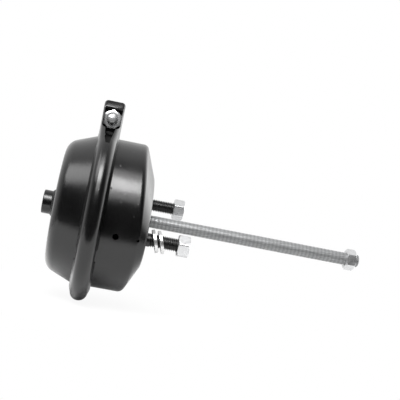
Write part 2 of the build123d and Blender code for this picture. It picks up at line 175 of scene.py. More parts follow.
# the camera sees the table as white, but for a faint shadow under the chamber
spot = top("ShaderNodeTexCoord").outputs["Object"]
level_spot = top("ShaderNodeMapping", Vector=spot, Location=(0.065, 0, 0), Scale=(1, 1, 0))
distance = top("ShaderNodeVectorMath", {"operation": "LENGTH"}, i0=level_spot.outputs[0])
faint = top("ShaderNodeMapRange", Value=distance.outputs["Value"], From_Min=0.06, From_Max=0.2, To_Min=0.92)
share = reckoner(top)("MULTIPLY", top("ShaderNodeLightPath").outputs["Is Camera Ray"], faint.outputs[0])
chalk = top("ShaderNodeBsdfDiffuse", Color=(0.8, 0.8, 0.8, 1))
glow = top("ShaderNodeEmission", Strength=1.0)
blend = top("ShaderNodeMixShader", i0=share, i1=chalk.outputs[0], i2=glow.outputs[0])
top("ShaderNodeOutputMaterial", Surface=blend.outputs[0])
floor_mesh.materials.append(pale)

# -------------------------------- pressure housing
# A bowl drawn from sheet steel, with a flared wall, a soft shoulder and a wedge flange at its rim. It is
# sprayed with gloss black enamel, which keeps a faint orange peel.
sheet = 3.2 * mm
clamp_plane = -65.3 * mm  # where the two housings meet, on the X axis
flange_r = 100.0 * mm
wedge = tan(radians(18))  # slope of flanges and clamp legs
slant = 1 / cos(radians(18))
flange_inner = 4.35 * mm  # inner face of a flange at its edge, from the clamp plane
flange_outer = flange_inner + sheet * slant
bowl_depth = 47.0 * mm
bowl_rim_r = 92.2 * mm
bowl_shoulder_r = 77.5 * mm
bowl_round = 17.0 * mm
bowl_crown = 3.0 * mm
flange_bend = 4.0 * mm
sheet_edge = 0.5 * mm  # small round on a cut sheet edge
hole_round = 0.3 * mm  # and on the edge of a hole in it
port_hole_r = 9.5 * mm
edge_angle = 32  # degrees; an edge that turns less is shaded smooth


def wedge_s(at_edge, radius):
    """Distance from the clamp plane of a sloping face that is at_edge from it at the flange's edge."""
    return at_edge + (flange_r - radius) * wedge


def rounded(corners, closed=True, steps=10):
    """Outline through (point, radius) corners, each rounded by an arc with a support point at each end."""
    points = []
    count = len(corners)
    for index, (corner, radius) in enumerate(corners):
        here = Vector(corner)
        if radius <= 0 or (not closed and index in (0, count - 1)):
            points.append(here)
            continue
        back = (Vector(corners[index - 1][0]) - here).normalized()
        onward = (Vector(corners[(index + 1) % count][0]) - here).normalized()
        half = back.angle(onward) / 2
        run = radius / tan(half)
        centre = here + (back + onward).normalized() * (radius / sin(half))
        first = here + back * run - centre
        last = here + onward * run - centre
        turn = first.angle(last)
        support = min(0.08 * radius, 0.1 * mm)
        points.append(here + back * (run + support))
        for step in range(steps + 1):
            t = step / steps
            arc = sin((1 - t) * turn) * first + sin(t * turn) * last
            points.append(centre + arc / sin(turn))
        points.append(here + onward * (run + support))
    return points


def cleaned(mesh, smooth_angle=edge_angle):
    """Merges the mesh's doubles, turns its faces outwards and leaves only its real edges sharp."""
    work = bmesh.new()
    work.from_mesh(mesh)
    bmesh.ops.remove_doubles(work, verts=work.verts, dist=0.002 * mm)
    bmesh.ops.dissolve_degenerate(work, dist=0.001 * mm, edges=work.edges)
    bmesh.ops.recalc_face_normals(work, faces=work.faces)
    work.to_mesh(mesh)
    work.free()
    mesh.shade_smooth()
    mesh.set_sharp_from_angle(angle=radians(smooth_angle))


def make_piece(name, vertices, faces, material, smooth_angle=edge_angle):
    mesh = bpy.data.meshes.new(name)
    mesh.from_pydata(vertices, [], faces)
    cleaned(mesh, smooth_angle)
    mesh.materials.append(material)
    piece = bpy.data.objects.new(name, mesh)
    scene.collection.objects.link(piece)
    return piece


def looped(rings, closed=True, wrap=True):
    """Vertices and faces of a skin through equal rings of points."""
    count = len(rings[0])
    vertices = [tuple(point) for ring in rings for point in ring]
    faces = []
    for row in range(len(rings) if wrap else len(rings) - 1):
        below = row * count
        over = (row + 1) % len(rings) * count
        for column in range(count if closed else count - 1):
            beside = (column + 1) % count
            faces.append((below + column, below + beside, over + beside, over + column))
    return vertices, faces


def turned(outline, angle):
    """The (x, radius) outline at one angle about the X axis."""
    return [(x, radius * cos(angle), radius * sin(angle)) for x, radius in outline]


def spun(outline, steps=224, closed=True):
    """Skin of the (x, radius) outline turned about the X axis."""
    return looped([turned(outline, 2 * pi * step / steps) for step in range(steps)], closed)


class Finish:
    """A material in the making, on Object coordinates, with the steps that the chamber's finishes share."""

    def __init__(self, name):
        self.material = bpy.data.materials.new(name)
        self.add = bare_tree(self.material)
        self.place = self.add("ShaderNodeTexCoord").outputs["Object"]

    def cloud(self, scale, detail=2.0):
        """Noise with about so many clouds to the metre."""
        return self.add("ShaderNodeTexNoise", Vector=self.place, Scale=scale, Detail=detail).outputs[0]

    def spread(self, value, low, high, to_low, to_high):
        """The value's stretch from low to high, laid over another stretch."""
        return self.add("ShaderNodeMapRange", Value=value, From_Min=low, From_Max=high, To_Min=to_low,
                        To_Max=to_high).outputs[0]

    def tone(self, share, dark, light):
        """Colour that goes from dark to light with the share."""
        mix = self.add("ShaderNodeMix", {"data_type": "RGBA"}, i0=share, i6=(*dark, 1), i7=(*light, 1))
        return mix.outputs[2]

    def bump(self, height, strength, depth, **under):
        """Relief of the height, over what lies under it."""
        relief = self.add("ShaderNodeBump", Height=height, Strength=strength, Distance=depth, **under)
        return relief.outputs[0]

    def done(self, colour, roughness, normal, **more):
        """The finished material."""
        skin = self.add("ShaderNodeBsdfPrincipled", Base_Color=colour, Roughness=roughness, Normal=normal,
                        **more)
        self.add("ShaderNodeOutputMaterial", Surface=skin.outputs[0])
        return self.material


def gloss_black(name, peel, shade):
    """Sprayed black enamel: a deep base, an orange peel, faint changes of gloss and a few specks of dust."""
    paint = Finish(name)
    film = paint.cloud(38.0, 3.0)
    tone = paint.tone(film, (shade, shade, shade * 1.05), (shade * 1.8, shade * 1.8, shade * 1.85))
    fine = paint.bump(paint.cloud(420.0), peel, 0.1 * mm)
    broad = paint.bump(paint.cloud(90.0), peel, 0.35 * mm, Normal=fine)
    dust = paint.add("ShaderNodeTexVoronoi", Vector=paint.place, Scale=75.0).outputs["Distance"]
    dusty = paint.bump(paint.spread(dust, 0.03, 0.09, 1.0, 0.0), 0.7, 0.3 * mm, Normal=broad)
    return paint.done(tone, paint.spread(film, 0.3, 0.7, 0.2, 0.27), dusty)


enamel = gloss_black("gloss_black_enamel", 0.25, 0.0025)

rim_s = wedge_s(flange_outer, bowl_rim_r)
flare = (bowl_rim_r - bowl_shoulder_r) / (bowl_depth - rim_s)
sloped = sheet * sqrt(1 + flare ** 2)  # the sheet's thickness measured along the radius
level_r = bowl_rim_r + flare * rim_s - sloped  # inside of the wall carried on to the clamp plane
inner_rim_s = (flange_r + flange_inner / wedge - level_r) / (1 / wedge - flare)
inner_end_s = bowl_depth - sheet
end_s = bowl_depth + bowl_crown
hole_s = bowl_depth + bowl_crown * (1 - port_hole_r / bowl_shoulder_r)
bowl_corners = [
    ((hole_s, port_hole_r), hole_round),
    ((bowl_depth, bowl_shoulder_r), bowl_round),
    ((rim_s, bowl_rim_r), flange_bend),
    ((flange_outer, flange_r), sheet_edge),
    ((flange_inner, flange_r), sheet_edge),
    ((inner_rim_s, level_r - flare * inner_rim_s), flange_bend + sheet),
    ((inner_end_s, level_r - flare * inner_end_s), bowl_round - sheet),
    ((hole_s - sheet, port_hole_r), hole_round),
]
bowl = [(clamp_plane - p[0], p[1]) for p in rounded(bowl_corners, steps=14)]
pressure_housing = make_piece("pressure_housing_shell", *spun(bowl), enamel)
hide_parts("pressure_housing")
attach(pressure_housing, "chamber")

# -------------------------------- air port
# A turned steel boss with a tapered pipe thread in it, welded over the hole in the middle of the bowl by a
# bead that went round by hand, so its ripples overlap. Both wear the bowl's enamel.
boss_r = 14.5 * mm
boss_length = 13.6 * mm
boss_seat = clamp_plane - end_s - 0.1 * mm  # the boss stands a hair off the crown
boss_end = boss_seat - boss_length
port_r = 7.2 * mm
port_pitch = 1.411 * mm  # 18 threads to the inch
port_thread = 0.65 * mm
boss_steps = 96  # facets around it
weld_leg = 3.0 * mm
weld_ripples = 46
weld_steps = 6 * weld_ripples
weld_root = 0.3 * mm  # a bead starts this far inside the bar that it holds


def sized_tree(name, sizes, counts=()):
    """A Geometry Nodes tree with named inputs, the adder of its nodes and the outputs of its input node."""
    tree = bpy.data.node_groups.new(name, "GeometryNodeTree")
    inputs = [("Geometry", "Geometry"), *[(size, "Float") for size in sizes],
              *[(count, "Int") for count in counts], ("Finish", "Material")]
    for label, kind in inputs:
        tree.interface.new_socket(label, in_out="INPUT", socket_type="NodeSocket" + kind)
    tree.interface.new_socket("Geometry", in_out="OUTPUT", socket_type="NodeSocketGeometry")
    add = node_adder(tree)
    return tree, add, add("NodeGroupInput").outputs


def finish_tree(add, shape, finish):
    """The end of a tree: its shape made real, in its finish."""
    real = add("GeometryNodeRealizeInstances", Geometry=shape)
    dressed = add("GeometryNodeSetMaterial", Geometry=real.outputs[0], Material=finish)
    add("NodeGroupOutput", Geometry=dressed.outputs[0])


def thread_tree():
    """Geometry Nodes that add a helical thread about the X axis to a turned piece and merge the two."""
    sizes = ("Start", "End", "Crest radius", "Depth", "Pitch", "Start radius", "End radius", "Run-out")
    tree, add, size = sized_tree("helical_thread", sizes, ["Steps per turn"])
    reckon = reckoner(add)

    def held(value):
        return reckon("MINIMUM", reckon("MAXIMUM", value, 0.0), 1.0)

    def faded(radius, end_radius, distance):
        share = held(reckon("DIVIDE", distance, size["Run-out"]))
        return reckon("ADD", end_radius, reckon("MULTIPLY", reckon("SUBTRACT", radius, end_radius), share))

    length = reckon("SUBTRACT", size["End"], size["Start"])
    turns = reckon("CEIL", reckon("ADD", reckon("DIVIDE", length, size["Pitch"]), 2.0))
    columns = reckon("ADD", reckon("MULTIPLY", turns, size["Steps per turn"]), 1.5)
    grid = add("GeometryNodeMeshGrid", Size_X=turns, Size_Y=1.0, Vertices_X=columns, Vertices_Y=5)
    place = add("ShaderNodeSeparateXYZ", i0=add("GeometryNodeInputPosition").outputs[0]).outputs
    turned = reckon("SUBTRACT", reckon("ADD", place[0], reckon("DIVIDE", turns, 2.0)), 1.0)
    across = reckon("ADD", place[1], 0.5)
    free_x = reckon("ADD", size["Start"], reckon("MULTIPLY", size["Pitch"], reckon("ADD", turned, across)))
    x = reckon("MINIMUM", reckon("MAXIMUM", free_x, size["Start"]), size["End"])
    # a quarter of the pitch each for the crest, the two flanks and the root
    quarters = reckon("MULTIPLY", across, 4.0)
    sunk = held(reckon("MINIMUM", reckon("SUBTRACT", quarters, 1.0), reckon("SUBTRACT", 4.0, quarters)))
    radius = reckon("SUBTRACT", size["Crest radius"], reckon("MULTIPLY", size["Depth"], sunk))
    radius = faded(radius, size["Start radius"], reckon("SUBTRACT", x, size["Start"]))
    radius = faded(radius, size["End radius"], reckon("SUBTRACT", size["End"], x))
    angle = reckon("MULTIPLY", turned, 2 * pi)
    wound = add("ShaderNodeCombineXYZ", X=x, Y=reckon("MULTIPLY", radius, reckon("COSINE", angle)),
                Z=reckon("MULTIPLY", radius, reckon("SINE", angle)))
    thread = add("GeometryNodeSetPosition", Geometry=grid.outputs["Mesh"], Position=wound.outputs[0])
    both = add("GeometryNodeJoinGeometry", Geometry=thread.outputs[0])
    tree.links.new(size["Geometry"], both.inputs[0])
    joined = add("GeometryNodeMergeByDistance", Geometry=both.outputs[0], Distance=0.002 * mm)
    finish_tree(add, joined.outputs[0], size["Finish"])
    return tree


def settled(piece, smooth_angle=edge_angle):
    """The piece with its modifiers' result as its own mesh."""
    made = bpy.data.meshes.new_from_object(piece.evaluated_get(bpy.context.evaluated_depsgraph_get()))
    raw = piece.data
    piece.modifiers.clear()
    piece.data = made
    bpy.data.meshes.remove(raw)
    cleaned(made, smooth_angle)
    return piece


def grown(piece, tree, smooth_angle=edge_angle, **sizes):
    """The piece with the tree's result as its plain mesh."""
    modifier = piece.modifiers.new(tree.name, "NODES")
    modifier.node_group = tree
    for item in tree.interface.items_tree:
        key = item.name.replace(" ", "_").replace("-", "_").lower()
        if item.in_out == "INPUT" and key in sizes:
            modifier[item.identifier] = sizes[key]
    return settled(piece, smooth_angle)


def bead(root, run, rise, flatness):
    """Outline of a weld bead in the corner at root (x, radius), flatter than a quarter circle."""
    points = []
    for part in range(9):
        lean = pi / 2 * part / 8
        bulge = 1 - flatness * sin(2 * lean)
        points.append((root[0] + rise * bulge * sin(lean), root[1] + run * bulge * cos(lean)))
    return points


threads = thread_tree()
boss_outline = rounded([((boss_seat, port_r), 0), ((boss_seat, boss_r), 0.3 * mm),
                        ((boss_end, boss_r), 1.2 * mm), ((boss_end, port_r + port_thread), 0.4 * mm),
                        ((boss_end + port_thread, port_r), 0)], closed=False, steps=6)
port_boss = make_piece("port_boss_turned", *spun(boss_outline, boss_steps, closed=False), enamel)
grown(port_boss, threads, start=boss_end + port_thread, start_radius=port_r, end=boss_seat, end_radius=port_r,
      crest_radius=port_r, depth=-port_thread, pitch=port_pitch, run_out=port_pitch,
      steps_per_turn=boss_steps, finish=enamel)
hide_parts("port_boss")
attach(port_boss, "chamber")

weld_rings = []
for step in range(weld_steps):
    angle = 2 * pi * step / weld_steps
    leg = weld_leg * (0.9 + 0.16 * abs(sin(weld_ripples * angle / 2)) + 0.06 * sin(5 * angle + 1))
    crown_x = boss_seat + bowl_crown * (boss_r + leg) / bowl_shoulder_r
    ring = bead((crown_x, boss_r), leg, boss_seat - crown_x - leg, 0.22)
    ring += [(boss_seat - leg * 0.9, boss_r - weld_root), (crown_x + 0.6 * mm, boss_r - weld_root),
             (crown_x + 0.6 * mm, ring[0][1])]
    weld_rings.append(turned(ring, angle))
port_weld = make_piece("port_weld_bead", *looped(weld_rings), enamel, 60)
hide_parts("port_weld")
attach(port_weld, "chamber")

# -------------------------------- non-pressure housing
# The other pressing: a wedge flange, a round barrel and a nose that closes from the circle to an oblong
# mounting face. It has a hole for the rod guide, a square hole for each stud's neck and four vents.
wall_r = 92.2 * mm
throat_r = wall_r - sheet
shoulder_x = -16.6 * mm  # shoulder edge across the studs' line
shoulder_rise = 6.0 * mm  # how much nearer the face it runs on that line
shoulder_round = 7.0 * mm
face_half_length = 87.3 * mm
face_half_width = 49.5 * mm
face_round = 4.5 * mm
guide_hole_r = 21.0 * mm
stud_clock = radians(19)  # the studs' line against level
stud_spacing = 120.65 * mm
neck_hole = 16.5 * mm
vent_r = 3.8 * mm
shoulder_vent_mouth = 1.6 * mm  # radius of the slanted vents, smaller than the wall's
vent_turn = radians(103.5)
vent_x = -35.9 * mm
shoulder_vent_x = -12.0 * mm
shoulder_vent_r = 89.2 * mm
shoulder_vent_lean = radians(40)
housing_steps = 288
middle = 0.0001 * mm  # the radius where an outline meets the axis


def on_stud_line(along, beside=0.0):
    """The (y, z) of a place along the studs' line and beside it."""
    return (along * cos(stud_clock) - beside * sin(stud_clock),
            along * sin(stud_clock) + beside * cos(stud_clock))


def stud_place(side):
    """The matrix that moves a piece to one stud's axis and turns it square with the studs' line."""
    axis = Matrix.Translation((0, *on_stud_line(side * stud_spacing / 2)))
    return axis @ Matrix.Rotation(stud_clock, 4, "X")


def housing_section(turn):
    """The wall's section at one turn from the studs' line, as points in space."""
    def at(x, radius):
        return (x, radius * cos(turn + stud_clock), radius * sin(turn + stud_clock))

    def oblong(x, length, width):
        return (x, *on_stud_line(length * cos(turn), width * sin(turn)))

    shoulder = shoulder_x + shoulder_rise * cos(turn) ** 2
    rim = oblong(0, face_half_length, face_half_width)
    share = guide_hole_r / hypot(rim[1], rim[2])
    hole = (rim[1] * share, rim[2] * share)
    return rounded([
        ((0, *hole), hole_round),
        (rim, face_round),
        (at(shoulder, wall_r), shoulder_round),
        (at(clamp_plane + wedge_s(flange_outer, wall_r), wall_r), flange_bend),
        (at(clamp_plane + flange_outer, flange_r), sheet_edge),
        (at(clamp_plane + flange_inner, flange_r), sheet_edge),
        (at(clamp_plane + wedge_s(flange_inner, throat_r), throat_r), flange_bend + sheet),
        (at(shoulder, throat_r), shoulder_round - sheet / 2),
        (oblong(-sheet, face_half_length - sheet, face_half_width - sheet), face_round - sheet / 2),
        ((-sheet, *hole), hole_round),
    ], steps=12)


def carved(piece, cutters, operation="DIFFERENCE", smooth_angle=edge_angle):
    """The piece with each cutter taken away, or joined on. The cutters are deleted."""
    for cutter in cutters:
        step = piece.modifiers.new(cutter.name, "BOOLEAN")
        step.operation = operation
        step.solver = "MANIFOLD"
        step.object = cutter
    settled(piece, smooth_angle)
    for cutter in cutters:
        bpy.data.objects.remove(cutter)
    return piece


def lofted(rings):
    """Skin through a row of equal closed rings, with a flat face on the first and on the last."""
    skin, faces = looped(rings, wrap=False)
    size = len(rings[0])
    return skin, faces + [tuple(range(size)), tuple(range(len(skin) - size, len(skin)))]


def capped_bar(x_low, x_high, radius):
    """Outline of a plain bar from its middle at one end to its middle at the other."""
    return [(x_low, middle), (x_low, radius), (x_high, radius), (x_high, middle)]


def drill(name, radius, start, aim, length, material, steps=48):
    """A round cutter from start towards aim."""
    cutter = make_piece(name, *spun(capped_bar(0, length, radius), steps, closed=False), material)
    turn = Vector((1, 0, 0)).rotation_difference(Vector(aim)).to_matrix().to_4x4()
    cutter.data.transform(Matrix.Translation(start) @ turn)
    return cutter


def block(name, low, high, material):
    """A square cutter between two corners."""
    ends = [[(x, low[1], low[2]), (x, high[1], low[2]), (x, high[1], high[2]), (x, low[1], high[2])]
            for x in (low[0], high[0])]
    return make_piece(name, *lofted(ends), material)


def neck_cutters(x_low):
    """Square cutters from x_low outwards, where the studs' necks go."""
    half = neck_hole / 2
    made = []
    for side in (-1, 1):
        cutter = block("neck_cutter", (x_low, -half, -half), (sheet, half, half), enamel)
        cutter.data.transform(stud_place(side))
        made.append(cutter)
    return made


housing_rings = [housing_section(2 * pi * step / housing_steps) for step in range(housing_steps)]
housing = make_piece("non_pressure_housing_shell", *looped(housing_rings), enamel)
cutters = neck_cutters(-2 * sheet)
for turn in (vent_turn, vent_turn + pi):
    out = Vector((0, -sin(turn), cos(turn)))
    start = out * wall_r / 2 + Vector((vent_x, 0, 0))
    cutters.append(drill("vent_cutter", vent_r, start, out, wall_r, enamel))
    lean = out * cos(shoulder_vent_lean) + Vector((sin(shoulder_vent_lean), 0, 0))
    mouth = out * shoulder_vent_r + Vector((shoulder_vent_x, 0, 0))
    cutters.append(drill("shoulder_vent_cutter", shoulder_vent_mouth, mouth, lean, 4 * sheet, enamel))
carved(housing, cutters)
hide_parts("non_pressure_housing")
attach(housing, "chamber")

# -------------------------------- studs, nuts and lock washers
# Two steel studs with round heads inside and square necks through the wall, sprayed satin black. Bright
# zinc nuts stand flush with their ends, and two split washers hang on the near one.
stud_r = 7.9375 * mm
stud_crest_r = 7.7775 * mm
stud_shank_end = 5.0 * mm
stud_ends = {"near": 52.0 * mm, "far": 48.2 * mm}
stud_pitch = 2.309 * mm  # 11 threads to the inch
stud_thread = 1.25 * mm
end_chamfer = 1.2 * mm
thread_lead = 0.3 * mm  # short cone between a shank and its thread
thread_step = 0.1 * mm  # a thread starts this far below its crest
stud_head_r = 12.94 * mm
stud_head_x = (-13.4 * mm, -8.4 * mm)
stud_neck = 16.2 * mm
neck_lap = 0.1 * mm  # it reaches this far into the head
neck_proud = 0.05 * mm  # and this far out of the mounting face
stud_nut_af = 23.8 * mm
stud_nut_height = 13.9 * mm
stud_nut_turns = {"near": radians(30), "far": radians(18.5)}
nut_play = 0.05 * mm
nut_blunting = 0.25 * mm  # taken off its corners
nut_rim_share = 0.97  # its round end face, against its flats
nut_flat_steps = 14
stud_steps = 48
washer_bore_r = 9.2375 * mm
washer_outer_r = 13.79 * mm
washer_thick = 4.0 * mm
washer_lean = radians(18)
washer_gap = 3.0 * mm
washer_gap_slant = tan(radians(25))
washer_drop = 0.1 * mm
washer_sprung = 0.5 * mm  # how far its two ends are sprung apart
washer_steps = 120
washer_places = (11.2 * mm, 18.5 * mm)


def root_share(finish, centre, root_r, crest_r):
    """0 at a thread's root radius and 1 at its crest, about an axis along X through the centre."""
    moved = finish.add("ShaderNodeMapping", Vector=finish.place, Location=(0, -centre[0], -centre[1]),
                       Scale=(0, 1, 1))
    radius = finish.add("ShaderNodeVectorMath", {"operation": "LENGTH"}, i0=moved.outputs[0])
    return finish.spread(radius.outputs["Value"], root_r, crest_r, 0.0, 1.0)


def black_with_painted_root_shade(name, shade, centre):
    """Satin black paint on a thread, darker and browner in the roots than on the crests: painted shade where
    the roots lie in shadow.
    """
    paint = Finish(name)
    # painted shade: the colour darkens from the crests down to the roots
    height = root_share(paint, centre, stud_crest_r - stud_thread, stud_crest_r)
    tone = paint.tone(height, (shade * 0.5, shade * 0.45, shade * 0.4), (shade, shade, shade * 1.05))
    gloss = paint.spread(paint.cloud(160.0, 3.0), 0.3, 0.7, 0.3, 0.42)
    return paint.done(tone, gloss, paint.bump(paint.cloud(900.0), 0.15, 0.1 * mm))


def plated(name, colour, metallic, roughness):
    """Zinc plate: a pale metal with cloudy passivation, fine tool marks and a slightly uneven gloss."""
    plate = Finish(name)
    cloud = plate.cloud(220.0, 4.0)
    gloss = plate.spread(cloud, 0.3, 0.7, roughness * 0.8, roughness * 1.2)
    tone = plate.tone(cloud, [c * 0.86 for c in colour], colour)
    drawn = plate.add("ShaderNodeMapping", Vector=plate.place, Scale=(1, 0.25, 1)).outputs[0]
    marks = plate.add("ShaderNodeTexNoise", Vector=drawn, Scale=2200.0, Detail=2.0).outputs[0]
    return plate.done(tone, gloss, plate.bump(marks, 0.2, 0.05 * mm), Metallic=metallic)


def hexagon(x_low, x_high, across_flats, bore_r, turn, countersink=0.7 * mm):
    """Skin of a nut about the X axis: six flats, blunted corners and a cone at each end."""
    flat_r = across_flats / 2
    rim_r = flat_r * nut_rim_share
    blunt_r = flat_r / cos(pi / 6) - nut_blunting
    blunt = acos(flat_r / blunt_r)
    leans = [blunt * (2 * step / nut_flat_steps - 1) for step in range(nut_flat_steps + 1)]
    rings = []
    for side in range(6):
        for lean in leans:
            radius = flat_r / cos(lean)
            drop = (radius - rim_r) * tan(pi / 6)
            outline = [(x_low, bore_r + countersink), (x_low, rim_r), (x_low + drop, radius),
                       (x_high - drop, radius), (x_high, rim_r), (x_high, bore_r + countersink),
                       (x_high - countersink, bore_r), (x_low + countersink, bore_r)]
            rings.append(turned(outline, turn + pi / 6 + side * pi / 3 + lean))
    return looped(rings)


def threaded_bar(name, shank, tip, steps, finish, **thread):
    """A bar with the outlines of its shank and its tip, and the thread grown from the one to the other."""
    skin, faces = spun(shank, steps, closed=False)
    tip_skin, tip_faces = spun(tip, steps, closed=False)
    faces += [tuple(i + len(skin) for i in face) for face in tip_faces]
    bar = make_piece(name, skin + tip_skin, faces, finish)
    return grown(bar, threads, start=shank[-1][0], start_radius=shank[-1][1], end=tip[0][0],
                 end_radius=tip[0][1], run_out=end_chamfer, steps_per_turn=steps, finish=finish, **thread)


zinc = plated("bright_zinc", (0.64, 0.645, 0.65), 0.85, 0.32)
washer_zinc = plated("washer_zinc", (0.68, 0.68, 0.68), 0.85, 0.3)
for name, side in (("near", -1), ("far", 1)):
    stud_end = stud_ends[name]
    stud_black = black_with_painted_root_shade(f"stud_black_{name}", 0.005, on_stud_line(side * stud_spacing / 2))
    place = stud_place(side)
    shank = rounded([((0, middle), 0), ((0, stud_r), 0), ((stud_shank_end, stud_r), 0.5 * mm),
                     ((stud_shank_end + thread_lead, stud_crest_r - thread_step), 0)], closed=False, steps=4)
    tip = [(stud_end, stud_crest_r - end_chamfer), (stud_end, middle)]
    stud = threaded_bar(f"mounting_stud_{name}_bar", shank, tip, stud_steps, stud_black,
                        crest_radius=stud_crest_r, depth=stud_thread, pitch=stud_pitch)
    stud.data.transform(place)
    half = stud_neck / 2
    neck = block("neck", (stud_head_x[1] - neck_lap, -half, -half), (neck_proud, half, half), stud_black)
    disc = capped_bar(*stud_head_x, stud_head_r)
    head = make_piece("head", *spun(disc, stud_steps, closed=False), stud_black)
    for part in (neck, head):
        part.data.transform(place)
    carved(stud, [neck, head], "UNION")
    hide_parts(f"mounting_stud_{name}")
    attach(stud, "chamber")

    flats = hexagon(stud_end - stud_nut_height, stud_end, stud_nut_af, stud_crest_r + nut_play,
                    stud_nut_turns[name])
    nut = make_piece(f"mounting_nut_{name}_hexagon", *flats, zinc)
    nut.data.transform(place)
    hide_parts(f"mounting_nut_{name}")
    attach(nut, "chamber")

near_y, near_z = on_stud_line(-stud_spacing / 2)
washer_mean_r = (washer_bore_r + washer_outer_r) / 2
washer_half = washer_thick / 2
section = rounded([((-washer_half, washer_bore_r), 0.4 * mm), ((-washer_half, washer_outer_r), 0.6 * mm),
                   ((washer_half, washer_outer_r), 0.6 * mm), ((washer_half, washer_bore_r), 0.4 * mm)],
                  steps=4)
opening = washer_gap / washer_mean_r / 2
for name, place_x in zip(("inner", "outer"), washer_places):
    rings = []
    for step in range(washer_steps + 1):
        share = step / washer_steps
        angle = opening + (2 * pi - 2 * opening) * share
        ring = []
        for x, radius in section:
            slanted = angle + x * washer_gap_slant / washer_mean_r
            sprung_x = x + (share - 0.5) * washer_sprung
            ring.append((sprung_x, radius * cos(slanted), radius * sin(slanted)))
        rings.append(ring)
    washer = make_piece(f"lock_washer_{name}_ring", *lofted(rings), washer_zinc)
    lean = Matrix.Rotation(-washer_lean, 4, "Y")
    washer.data.transform(Matrix.Translation((place_x, near_y, near_z - washer_drop)) @ lean)
    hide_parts(f"lock_washer_{name}")
    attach(washer, f"{name}_lock_washer")

# -------------------------------- inside the non-pressure housing
# A thick slotted plate that the studs' heads pull against the mounting wall, a moulded bush for the push
# rod, and the conical spring that pushes the rod back and rests on the bush's flange.
plate_back_x = -8.3 * mm
plate_front_x = -3.3 * mm
plate_half_length = 80.1 * mm
plate_half_width = 32.3 * mm
plate_edge = 0.8 * mm
plate_hole_edge = 0.4 * mm
plate_end_steps = 48
guide_tube_r = 20.8 * mm
guide_bore_r = 8.2 * mm
guide_flange_r = 39.0 * mm
guide_back_x = -12.4 * mm
guide_flange_x = -8.4 * mm  # front of its flange
guide_front_x = -0.4 * mm
spring_wire_r = 2.5 * mm
spring_low_x = -99.5 * mm
spring_high_x = -12.5 * mm
spring_wide_r = 50.7 * mm
spring_narrow_r = 33.0 * mm
spring_turns = 5.0

edge = []
for end in (1, -1):
    for step in range(plate_end_steps + 1):
        turn = pi * (step / plate_end_steps - 0.5) + (0 if end == 1 else pi)
        along = end * (plate_half_length - plate_half_width) + plate_half_width * cos(turn)
        edge.append((along, plate_half_width * sin(turn)))
rings = []
for along, beside in edge:
    out = Vector((0, *on_stud_line(along, beside)))
    hole = out.normalized() * guide_hole_r
    corners = [(plate_back_x, out, plate_edge), (plate_front_x, out, plate_edge),
               (plate_front_x, hole, plate_hole_edge), (plate_back_x, hole, plate_hole_edge)]
    rings.append(rounded([((x, spot.y, spot.z), radius) for x, spot, radius in corners], steps=3))
stud_plate = make_piece("stud_plate_blank", *looped(rings), enamel)
carved(stud_plate, neck_cutters(plate_back_x - sheet))
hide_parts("stud_plate")
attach(stud_plate, "chamber")


def moulded(name, shade, roughness, scale):
    """Dull dark plastic or rubber with the fine grain of its mould."""
    skin = Finish(name)
    bloom = skin.cloud(60.0, 4.0)
    tone = skin.tone(bloom, (shade, shade, shade), (shade * 1.7, shade * 1.7, shade * 1.65))
    dull = skin.spread(bloom, 0.0, 1.0, roughness - 0.08, roughness + 0.08)
    return skin.done(tone, dull, skin.bump(skin.cloud(scale), 0.3, 0.1 * mm), Specular_IOR_Level=0.15)


guide_plastic = moulded("guide_plastic", 0.03, 0.5, 1200.0)
guide_corners = [((guide_back_x, guide_bore_r), 0.5 * mm), ((guide_back_x, guide_flange_r), 0.8 * mm),
                 ((guide_flange_x, guide_flange_r), 0.5 * mm), ((guide_flange_x, guide_tube_r), 0.5 * mm),
                 ((guide_front_x, guide_tube_r), 0.8 * mm), ((guide_front_x, guide_bore_r), 0.8 * mm)]
rod_guide = make_piece("rod_guide_bush", *spun(rounded(guide_corners, steps=4), 128), guide_plastic)
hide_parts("rod_guide")
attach(rod_guide, "chamber")


def spring_tree():
    """Geometry Nodes that wind round wire into a conical spring along X."""
    sizes = ("Low", "High", "Wide radius", "Narrow radius", "Turns", "Wire radius")
    tree, add, size = sized_tree("conical_spring", sizes)
    reckon = reckoner(add)
    height = reckon("SUBTRACT", reckon("SUBTRACT", size["High"], size["Low"]),
                    reckon("MULTIPLY", size["Wire radius"], 2.0))
    coil = add("GeometryNodeCurveSpiral", Resolution=96, Rotations=size["Turns"],
               Start_Radius=size["Wide radius"], End_Radius=size["Narrow radius"], Height=height)
    wire = add("GeometryNodeCurvePrimitiveCircle", Resolution=20, Radius=size["Wire radius"])
    swept = add("GeometryNodeCurveToMesh", Curve=coil.outputs[0], Profile_Curve=wire.outputs[0],
                Fill_Caps=True)
    start = add("ShaderNodeCombineXYZ", X=reckon("ADD", size["Low"], size["Wire radius"]))
    laid = add("GeometryNodeTransform", Geometry=swept.outputs[0], Translation=start.outputs[0],
               Rotation=(0, pi / 2, 0))
    finish_tree(add, laid.outputs[0], size["Finish"])
    return tree


spring_coat = gloss_black("spring_coating", 0.15, 0.03)
spring = make_piece("return_spring_coil", [(0, 0, 0)], [], spring_coat)
grown(spring, spring_tree(), 60, low=spring_low_x, high=spring_high_x, wide_radius=spring_wide_r,
      narrow_radius=spring_narrow_r, turns=spring_turns, wire_radius=spring_wire_r, finish=spring_coat)
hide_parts("return_spring")
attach(spring, "chamber")
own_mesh(spring)

